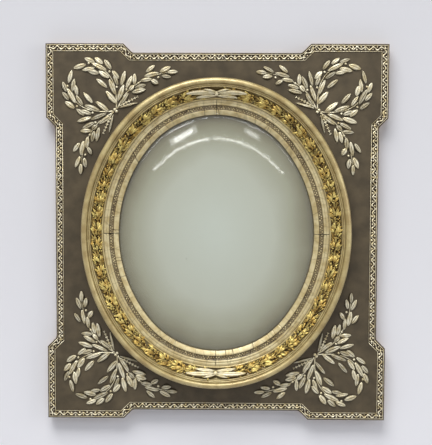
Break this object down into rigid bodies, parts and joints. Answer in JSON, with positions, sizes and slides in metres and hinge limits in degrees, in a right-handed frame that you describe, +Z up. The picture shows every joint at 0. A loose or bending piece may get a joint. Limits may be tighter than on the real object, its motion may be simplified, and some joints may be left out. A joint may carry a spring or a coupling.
{
  "type": "oval picture frame",
  "caption": "Wall picture frame with an eared rectangular plate, a raised gilt oval moulding round domed glass, laurel sprays in the corners and ring hangers behind.",
  "frame": {"origin": "centre of the plane in which the two back battens bear on the wall", "axes": "+Z up the frame, +X to the right seen from the front, front faces -Y, +Y points into the wall"},
  "size_m": [0.6, 0.051, 0.665],
  "materials": {
    "painted_plate": "dark brown-grey bronze paint on wood, dry and slightly mottled",
    "moulding_gilt": "silver-gold leaf on gesso, worn and finely crazed",
    "slip_gilt": "pale burnished silver-gold leaf on gesso, cracked at the joints",
    "garland_gilt": "yellow gilt leaves on a dark brown ground",
    "laurel_gilt": "pale gold bronzed relief with dark recesses",
    "border_gilt": "pale gold stamped strip with a dark ground",
    "clear_glass": "old clear domed glass, faintly green",
    "pale_card": "plain pale grey-green card, matt",
    "backboard_wood": "bare aged softwood",
    "batten_wood": "bare aged softwood",
    "screw_steel": "dull steel, slightly browned",
    "button_brass": "tarnished brass",
    "hanger_steel": "nickelled steel, dulled"
  },
  "bodies": {
    "frame": {"backboard": "backboard_wood", "batten_screws": "screw_steel", "border_bottom": "border_gilt", "border_left": "border_gilt", "border_lower_left_ear": "border_gilt", "border_lower_right_ear": "border_gilt", "border_right": "border_gilt", "border_top": "border_gilt", "border_upper_left_ear": "border_gilt", "border_upper_right_ear": "border_gilt", "bottom_batten": "batten_wood", "convex_glass": "clear_glass", "garland_bottom_tie": "garland_gilt", "garland_left": "garland_gilt", "garland_right": "garland_gilt", "garland_top_tie": "garland_gilt", "hanger_screws": "screw_steel", "hanger_straps": "hanger_steel", "laurel_lower_left_high_spray": "laurel_gilt", "laurel_lower_left_knot": "laurel_gilt", "laurel_lower_left_low_spray": "laurel_gilt", "laurel_lower_right_high_spray": "laurel_gilt", "laurel_lower_right_knot": "laurel_gilt", "laurel_lower_right_low_spray": "laurel_gilt", "laurel_upper_left_high_spray": "laurel_gilt", "laurel_upper_left_knot": "laurel_gilt", "laurel_upper_left_low_spray": "laurel_gilt", "laurel_upper_right_high_spray": "laurel_gilt", "laurel_upper_right_knot": "laurel_gilt", "laurel_upper_right_low_spray": "laurel_gilt", "oval_moulding": "moulding_gilt", "picture_card": "pale_card", "plate_bottom_rail": "painted_plate", "plate_left_stile": "painted_plate", "plate_right_stile": "painted_plate", "plate_top_rail": "painted_plate", "slip_lower_left": "slip_gilt", "slip_lower_right": "slip_gilt", "slip_upper_left": "slip_gilt", "slip_upper_right": "slip_gilt", "top_batten": "batten_wood", "turn_button_screws": "screw_steel"},
    "ring_left": {"hanger_ring_left": "hanger_steel"},
    "ring_right": {"hanger_ring_right": "hanger_steel"},
    "button_upper_right": {"turn_button_upper_right": "button_brass"},
    "button_upper_left": {"turn_button_upper_left": "button_brass"},
    "button_lower_right": {"turn_button_lower_right": "button_brass"},
    "button_lower_left": {"turn_button_lower_left": "button_brass"}
  },
  "joints": [
    {"name": "ring_left_swing", "type": "hinge", "parent": "frame", "child": "ring_left", "pos_m": [-0.235, -0.00554, 0.17], "axis": [1, 0, 0], "range_deg": [0, 180]},
    {"name": "ring_right_swing", "type": "hinge", "parent": "frame", "child": "ring_right", "pos_m": [0.235, -0.00554, 0.17], "axis": [1, 0, 0], "range_deg": [0, 180]},
    {"name": "button_upper_right_turn", "type": "hinge", "parent": "frame", "child": "button_upper_right", "pos_m": [0.13117, -0.0065, 0.16517], "axis": [0, 1, 0], "continuous": true},
    {"name": "button_upper_left_turn", "type": "hinge", "parent": "frame", "child": "button_upper_left", "pos_m": [-0.13117, -0.0065, 0.16517], "axis": [0, 1, 0], "continuous": true},
    {"name": "button_lower_right_turn", "type": "hinge", "parent": "frame", "child": "button_lower_right", "pos_m": [0.13117, -0.0065, -0.16517], "axis": [0, 1, 0], "continuous": true},
    {"name": "button_lower_left_turn", "type": "hinge", "parent": "frame", "child": "button_lower_left", "pos_m": [-0.13117, -0.0065, -0.16517], "axis": [0, 1, 0], "continuous": true}
  ]
}
